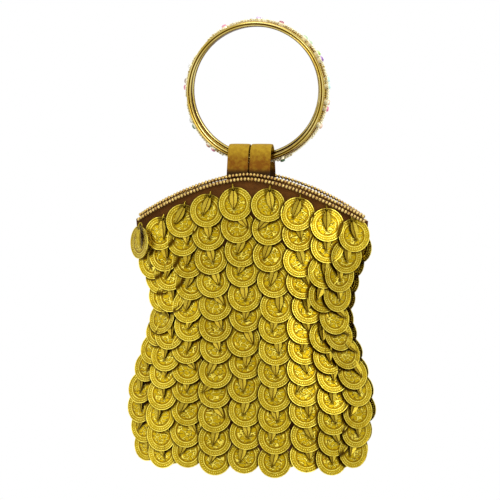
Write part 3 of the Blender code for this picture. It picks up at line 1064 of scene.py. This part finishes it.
def thread_beads(line, look, chance):
    """(places, traits) of beads along a line of (middle, outwards), each a little different."""
    points = [p for p, _ in line]
    strides = [(b - a).length for a, b in zip(points, points[1:])]
    run = np.concatenate([[0], np.cumsum(strides)])
    count = int((run[-1] - look.length) / look.pitch) + 1
    places, traits = [], []
    for k in range(count):
        along = run[-1] * (k + 0.5) / count
        i = min(int(np.searchsorted(run, along)), len(run) - 1)
        share = (along - run[i - 1]) / (run[i] - run[i - 1])
        centre = points[i - 1].lerp(points[i], share)
        z = (points[i] - points[i - 1]).normalized()
        x = line[i][1].cross(z).normalized()
        girth = chance.uniform(0.9, 1.06)
        size = Matrix.Diagonal((girth, girth, chance.uniform(0.9, 1.1), 1))
        wobble = Matrix.Rotation(chance.uniform(-0.18, 0.18), 4, "Y")
        places.append(Matrix.Translation(centre) @ facing(x, z) @ wobble @ size)
        traits.append({"tone": chance.random()})
    return places, traits


class POUCH_OT_beads(Operator):
    """Two strings of gold seed beads along each edge of the mouth"""

    bl_idname = "pouch.beads"
    bl_label = "Bead Strings"

    def execute(self, context):
        look = context.scene.bead_look
        bead = roll_bead(look)
        foil, brown = bead_finish(look), thread_finish(look)
        end = 1 - 2 * BEAD_END_INSET / MOUTH_WIDTH
        for face, turn in FACES:
            for which, place_at in BEAD_LINES:
                line = [place_at(t) for t in np.linspace(-end, end, LINE_SAMPLES)]
                chance = random.Random(len(which) * 7 + int(turn))
                places, traits = thread_beads(line, look, chance)
                hanging = [hung(turn) @ p for p in places]
                beads = gather(f"beads_{face}_{which}", bead, hanging, traits)
                finish_piece(beads, "pouch", foil, [f"bead_string_{face}_{which}"])
                strung = [hung(turn) @ p for p, _ in line[::6]]
                thread = lay_cord(f"bead_thread_{face}_{which}", strung, THREAD_RADIUS)
                finish_piece(thread, "pouch", brown)
        put_away(bead)
        return {"FINISHED"}


# Cloth and loops.
# The bottom's share of half the sewn edge, and how far the cord's middle stands outside it.
SEAM_BOTTOM = 0.4
SEAM_OUT = 0.0002


def seam_point(u):
    """The sewn edge, from the mouth's left corner down, along the bottom and up to the right corner."""
    side = math.copysign(1, u - 0.5)
    run = abs(u - 0.5) * 2
    if run > SEAM_BOTTOM:
        level = base_level(1) + (CORNER - base_level(1)) * (run - SEAM_BOTTOM) / (1 - SEAM_BOTTOM)
        return Vector((side * (half_width(level) + SEAM_OUT), 0, level))
    t = side * run / SEAM_BOTTOM
    return Vector((t * half_width(base_level(t)), 0, base_level(t) - SEAM_OUT))


def lay_cord(name, points, radius):
    """A round cord through the points."""
    deselect()
    curve = bpy.data.curves.new(name, "CURVE")
    curve.dimensions = "3D"
    curve.bevel_depth = radius
    curve.bevel_resolution = 1
    curve.use_fill_caps = True
    spline = curve.splines.new("POLY")
    spline.points.add(len(points) - 1)
    for point, at in zip(spline.points, points):
        point.co = (*at, 1)
    cord = bpy.data.objects.new(name, curve)
    bring_in(cord)
    bpy.ops.object.convert(target="MESH")
    cord = bpy.context.object
    smooth(cord)
    return cord


class POUCH_OT_cloth(Operator):
    """The brown outer panels and the golden lining"""

    bl_idname = "pouch.cloth"
    bl_label = "Cloth Panels and Lining"

    def execute(self, context):
        look = context.scene.cloth_look
        brown = cloth_finish("brown_cloth", look.outside, (0.15, 0.052, 0.005), look, 0.9, 0.0)
        golden = cloth_finish("golden_lining", look.inside, (0.62, 0.36, 0.06), look, 0.5, 0.1)
        for face, _ in FACES:
            outer = copy_of_solid(f"panel_{face}", f"cloth_{face}")
            soften_edges(outer, 0.0002, 2)
            finish_piece(outer, "pouch", brown, [f"panel_{face}"])
            inner = copy_of_solid(f"lining_{face}", f"satin_{face}")
            soften_edges(inner, 0.00012, 2)
            finish_piece(inner, "pouch", golden, [f"lining_{face}"])
        line = [seam_point(u) for u in np.linspace(0, 1, 90)]
        cord = lay_cord("seam_cord", [HINGE + p for p in line], look.seam / 2)
        finish_piece(cord, "pouch", brown)
        return {"FINISHED"}


class POUCH_OT_loops(Operator):
    """The two suede straps that fold over the bangles"""

    bl_idname = "pouch.loops"
    bl_label = "Suede Loops"

    def execute(self, context):
        suede = suede_finish(context.scene.suede_look)
        for side in ("left", "right"):
            strap = copy_of_solid(f"loop_{side}", f"strap_{side}")
            soften_edges(strap, 0.0003, 2)
            finish_piece(strap, "pouch", suede, [f"loop_{side}"])
        return {"FINISHED"}


# Bangles.
# Depth of the groove at each side, of the flat inside, and the margin for finding a ring's vertices.
GROOVE_DEPTH = 0.00045
INSIDE_FLAT = 0.00015
TOUCH = 0.0001
# Jewelled bangle: clock angle of each cluster in degrees, and its stones along the ring.
CLUSTERS = (
    (-140, ("rose", "amber")), (-116, ("bottle", "clear")), (-84, ("rose", "smoke")), (-69, ("clear",)),
    (-27, ("rose",)), (4, ("lilac", "clear")), (20, ("ruby",)), (45, ("pale_green", "pale_green")),
    (61, ("lime", "violet")), (83, ("mint", "mint")), (101, ("champagne", "rose")), (118, ("champagne",)),
    (159, ("bottle",)),
)
# Along the ring from stone to stone, the stones' height over it, and the half sizes of a cup and a stone.
STONE_STEP = 0.0032
STONE_LIFT = 0.0015
CUP_SIZE = (0.0016, 0.0014, 0.0024, 1)
STONE_SIZE = (0.0015, 0.0013, 0.0012, 1)
# Clock angles between which two lines of grains run round the jewelled bangle, and their half distance.
GRAIN_RUNS = ((-150, -98), (-92, -60), (-42, 130), (152, 163))
GRAIN_LANE = 0.0006
STONES = {
    "rose": (0.75, 0.16, 0.30), "amber": (0.45, 0.15, 0.03), "bottle": (0.02, 0.14, 0.04),
    "clear": (0.80, 0.80, 0.76), "smoke": (0.40, 0.30, 0.24), "lilac": (0.52, 0.36, 0.62),
    "ruby": (0.32, 0.01, 0.04), "pale_green": (0.50, 0.74, 0.42), "lime": (0.34, 0.58, 0.05),
    "violet": (0.22, 0.06, 0.36), "mint": (0.42, 0.78, 0.60), "champagne": (0.74, 0.46, 0.30),
}


def add_ring(name, steps, sides, middle, half, centre):
    """A round ring in the XZ plane, its mesh being edited; middle and half are its two radii."""
    deselect()
    bpy.ops.mesh.primitive_torus_add(
        major_segments=steps, minor_segments=sides, major_radius=middle, minor_radius=half,
        rotation=(math.pi / 2, 0, 0), location=centre,
    )
    ring = bpy.context.object
    ring.name = ring.data.name = name
    bpy.ops.object.transform_apply(location=True, rotation=True, scale=True)
    edit("VERT")
    return ring


def turn_ring(name, bore, lane, look):
    """A bangle, its sides drawn in along the middle and its inside a little flattened."""
    middle = bore / 2 + BANGLE_WALL / 2
    centre = (0, lane, -bore / 2)
    ring = add_ring(name, look.steps, 16, middle, BANGLE_WALL / 2, centre)

    def radius(v):
        return math.hypot(v.co.x, v.co.z + bore / 2)

    for side in (-1, 1):
        pick("verts", lambda v: abs(radius(v) - middle) < TOUCH and (v.co.y - lane) * side > 0)
        bpy.ops.transform.translate(value=(0, -side * GROOVE_DEPTH, 0))
    pick("verts", lambda v: radius(v) < bore / 2 + TOUCH)
    wider = 1 + INSIDE_FLAT / (bore / 2)
    bpy.ops.transform.resize(value=(wider, 1, wider), center_override=centre)
    done()
    smooth(ring, math.radians(50))
    return ring


def ring_place(bore, lane, clock, out):
    """On the ring's outside at a clock angle: Z points outwards, X along the ring, Y along its axis."""
    a = math.radians(clock)
    z = Vector((math.sin(a), 0, math.cos(a)))
    x = Vector((math.cos(a), 0, -math.sin(a)))
    centre = Vector((0, lane, -bore / 2))
    return Matrix.Translation(centre + z * (bore / 2 + BANGLE_WALL + out)) @ facing(x, z)


def cut_stone():
    """An oval stone with a flat table and two rows of facets."""
    deselect()
    bpy.ops.mesh.primitive_uv_sphere_add(segments=10, ring_count=6, radius=1.0)
    stone = bpy.context.object
    edit("VERT")
    pick("verts", lambda v: v.co.z > 0.8)
    bpy.ops.transform.resize(value=(1, 1, 0.0), center_override=(0, 0, 0.8))
    pick("verts", lambda v: v.co.z < -0.3)
    bpy.ops.transform.resize(value=(1, 1, 0.4), center_override=(0, 0, -0.3))
    done()
    lay_plan(stone, 2, 2)
    return stone


def collet():
    """An oval cup with a rolled lip."""
    deselect()
    bpy.ops.mesh.primitive_cylinder_add(vertices=12, radius=1.0, depth=1.0, location=(0, 0, 0.1))
    cup = bpy.context.object
    edit("FACE")
    pick("faces", lambda f: f.normal.z > 0.9)
    bpy.ops.transform.resize(value=(1.12, 1.12, 1))
    bpy.ops.mesh.inset(thickness=0.16, depth=0.12)
    bpy.ops.mesh.inset(thickness=0.10, depth=-0.3)
    done()
    lay_plan(cup, 2, 2)
    smooth(cup, math.radians(35))
    return cup


class POUCH_OT_bangles(Operator):
    """Two polished bangles and one with coloured stones in groups round its edge"""

    bl_idname = "pouch.bangles"
    bl_label = "Bangles and Stones"

    def execute(self, context):
        look = context.scene.bangle_look
        carrier = turn_ring("polished_carrier", CARRIER_BORE, 0.0, look)
        plain = brass_finish("polished_carrier_brass", look, CARRIER_BORE)
        finish_piece(carrier, "carrier", plain, ["bangle_carrier"])
        front = turn_ring("polished_front", BANGLE_BORE, -BANGLE_LANE, look)
        wide = brass_finish("polished_front_brass", look, BANGLE_BORE)
        finish_piece(front, "front_bangle", wide, ["bangle_front"])
        rear = turn_ring("jewelled_band", BANGLE_BORE, BANGLE_LANE, look)
        worked = brass_finish("filigree_brass", look, BANGLE_BORE, hatch=0.8)
        finish_piece(rear, "jewelled_bangle", worked, ["bangle_jewelled"])
        pale = grain_finish(look)
        self.lay_rope(look, pale)
        self.set_stones(look, pale)
        return {"FINISHED"}

    def lay_rope(self, look, finish):
        """The wire along the outside of the jewelled bangle, a little hollow at its middle."""
        centre = (0, BANGLE_LANE, -BANGLE_BORE / 2)
        middle = BANGLE_BORE / 2 + BANGLE_WALL + look.rope / 2
        rope = add_ring("rope_wire", look.steps, 8, middle, look.rope * 0.55, centre)
        pick("verts", lambda v: abs(v.co.y - BANGLE_LANE) < look.rope * 0.1)
        bpy.ops.transform.resize(value=(0.996, 1, 0.996), center_override=centre)
        done()
        smooth(rope, math.radians(60))
        finish_piece(rope, "jewelled_bangle", finish)

    def set_stones(self, look, metal):
        """Cups with their stones at the clusters, and two lines of grains along the runs."""
        bead_look = bpy.context.scene.bead_look
        stone, cup, grain = cut_stone(), collet(), roll_bead(bead_look)
        grain.data.transform(Matrix.Scale(look.grain / bead_look.diameter, 4))
        by_colour, cups, grains = {}, [], []
        apart = math.degrees(STONE_STEP / (BANGLE_BORE / 2 + BANGLE_WALL))
        lift = Matrix.Translation((0, 0, STONE_LIFT))
        for clock, stones in CLUSTERS:
            for k, kind in enumerate(stones):
                at = clock + (k - (len(stones) - 1) / 2) * apart
                place = ring_place(BANGLE_BORE, BANGLE_LANE, at, 0.0)
                cups.append(place @ Matrix.Diagonal(CUP_SIZE))
                by_colour.setdefault(kind, []).append(place @ lift @ Matrix.Diagonal(STONE_SIZE))
        for first, last in GRAIN_RUNS:
            for clock in np.arange(first, last, look.grain_step):
                for side in (-1, 1):
                    lane = BANGLE_LANE + side * GRAIN_LANE
                    grains.append(ring_place(BANGLE_BORE, lane, clock + side, look.rope))
        cups = gather("stone_settings", cup, cups, [{}] * len(cups))
        finish_piece(cups, "jewelled_bangle", metal)
        beads = gather("setting_grains", grain, grains, [{}] * len(grains))
        finish_piece(beads, "jewelled_bangle", metal)
        for kind, places in by_colour.items():
            gems = gather(f"stones_{kind}", stone, places, [{}] * len(places))
            pale = tuple(min(1.0, c * 1.5 + 0.06) for c in STONES[kind])
            finish_piece(gems, "jewelled_bangle", gem_finish(f"stone_{kind}", STONES[kind], pale))
        put_away(stone, cup, grain)


# Stage.
# Each soft lamp: its place from the pouch's middle, its width and its power.
LAMPS = (
    ("key", (0.55, -0.85, 0.65), 0.9, 7.0),
    ("fill", (-0.9, -0.7, 0.1), 0.9, 1.9),
    ("top", (0.0, 0.15, 1.1), 0.8, 3.0),
    ("rear", (0.2, 1.1, 0.4), 0.9, 3.0),
)
# What the camera looks at, sideways and in height, and the width it sees there.
AIM_SIDE = -0.0031
AIM_LEVEL = -0.1133
FRAME_WIDTH = 0.255
SENSOR = 36


class POUCH_OT_stage(Operator):
    """White surround, pale floor, soft lamps and the camera"""

    bl_idname = "pouch.stage"
    bl_label = "Stage and Camera"

    def execute(self, context):
        look = context.scene.stage_look
        self.light_surround()
        low = cad_box[0].z - look.floor_drop
        deselect()
        bpy.ops.mesh.primitive_circle_add(
            vertices=64, radius=look.floor_size / 2, fill_type="NGON", location=(0, 0, low)
        )
        floor = context.object
        floor.name = "floor"
        floor.data.materials.append(self.floor_finish(look))
        self.hang_lamps((cad_box[0] + cad_box[1]) / 2)
        self.place_camera(look)
        return {"FINISHED"}

    def hang_lamps(self, middle):
        """Soft square lamps round the pouch, each turned to its middle."""
        for name, offset, size, power in LAMPS:
            light = bpy.data.lights.new(name, "AREA")
            light.size = size
            light.energy = power
            lamp = bpy.data.objects.new(name, light)
            lamp.location = middle + Vector(offset)
            lamp.rotation_euler = (-Vector(offset)).to_track_quat("-Z", "Y").to_euler()
            bpy.context.scene.collection.objects.link(lamp)

    def light_surround(self):
        """White where the camera or a reflection sees it, and dimmer as light."""
        world = bpy.data.worlds.new("white_surround")
        world.use_nodes = True
        bpy.context.scene.world = world
        g = Graph(world.node_tree)
        world.node_tree.nodes.clear()
        path = g.add("ShaderNodeLightPath").outputs
        seen = g.most(path["Is Camera Ray"], path["Is Glossy Ray"])
        seen = g.most(seen, path["Is Transmission Ray"])
        plain = g.add("ShaderNodeBackground", {0: (1.0, 1.0, 1.0), 1: 0.62}).outputs[0]
        white = g.add("ShaderNodeBackground", {0: (1.0, 1.0, 1.0), 1: 1.0}).outputs[0]
        both = g.add("ShaderNodeMixShader", {0: seen, 1: plain, 2: white}).outputs[0]
        g.add("ShaderNodeOutputWorld", {0: both})

    def floor_finish(self, look):
        g = finish_of("pale_floor", 0.0, 0.9)
        speck = g.noise(g.where(), 30.0, 3.0)
        paler = tuple(min(1.0, c * 1.03) for c in look.floor)
        seen = g.add("ShaderNodeLightPath").outputs["Is Camera Ray"]
        g.shader.inputs["Emission Color"].default_value = (1.0, 1.0, 1.0, 1.0)
        g.feed(g.shader.inputs["Emission Strength"], g.times(seen, 0.2))
        return g.paint(g.mix(speck, look.floor, paler))

    def place_camera(self, look):
        """The whole pouch from the front, seen a little from its right and from above."""
        a, e = look.azimuth, look.elevation
        back = Vector((math.sin(a) * math.cos(e), -math.cos(a) * math.cos(e), math.sin(e)))
        aim = Vector((AIM_SIDE * math.cos(a), AIM_SIDE * math.sin(a), AIM_LEVEL))
        camera = bpy.data.objects.new("camera", bpy.data.cameras.new("camera"))
        camera.location = aim + back * look.distance
        camera.rotation_euler = (-back).to_track_quat("-Z", "Y").to_euler()
        camera.data.sensor_width = SENSOR
        camera.data.lens = SENSOR * look.distance / FRAME_WIDTH
        bpy.context.scene.collection.objects.link(camera)
        bpy.context.scene.camera = camera
        bpy.context.scene.view_settings.view_transform = "Standard"


class POUCH_PT_panel(Panel):
    """Sizes, colours and steps of the coin pouch"""

    bl_label = "Coin Pouch"
    bl_idname = "POUCH_PT_panel"
    bl_space_type = "VIEW_3D"
    bl_region_type = "UI"
    bl_category = "Coin Pouch"

    def draw(self, context):
        for step in STEPS:
            self.layout.operator(step.bl_idname)
        for name, look in LOOKS:
            box = self.layout.box()
            box.label(text=name.replace("_", " "))
            for key in look.__annotations__:
                box.prop(getattr(context.scene, name), key)


STEPS = (POUCH_OT_cloth, POUCH_OT_loops, POUCH_OT_beads, POUCH_OT_coins, POUCH_OT_bangles, POUCH_OT_stage)


def register():
    for name, look in LOOKS:
        bpy.utils.register_class(look)
        setattr(bpy.types.Scene, name, PointerProperty(type=look))
    for step in STEPS:
        bpy.utils.register_class(step)
    bpy.utils.register_class(POUCH_PT_panel)


def unregister():
    bpy.utils.unregister_class(POUCH_PT_panel)
    for step in reversed(STEPS):
        bpy.utils.unregister_class(step)
    for name, look in reversed(LOOKS):
        delattr(bpy.types.Scene, name)
        bpy.utils.unregister_class(look)


def main():
    register()
    bpy.ops.pouch.stage()
    bpy.ops.pouch.cloth()
    bpy.ops.pouch.loops()
    bpy.ops.pouch.beads()
    bpy.ops.pouch.coins()
    bpy.ops.pouch.bangles()


if __name__ == "__main__":
    main()
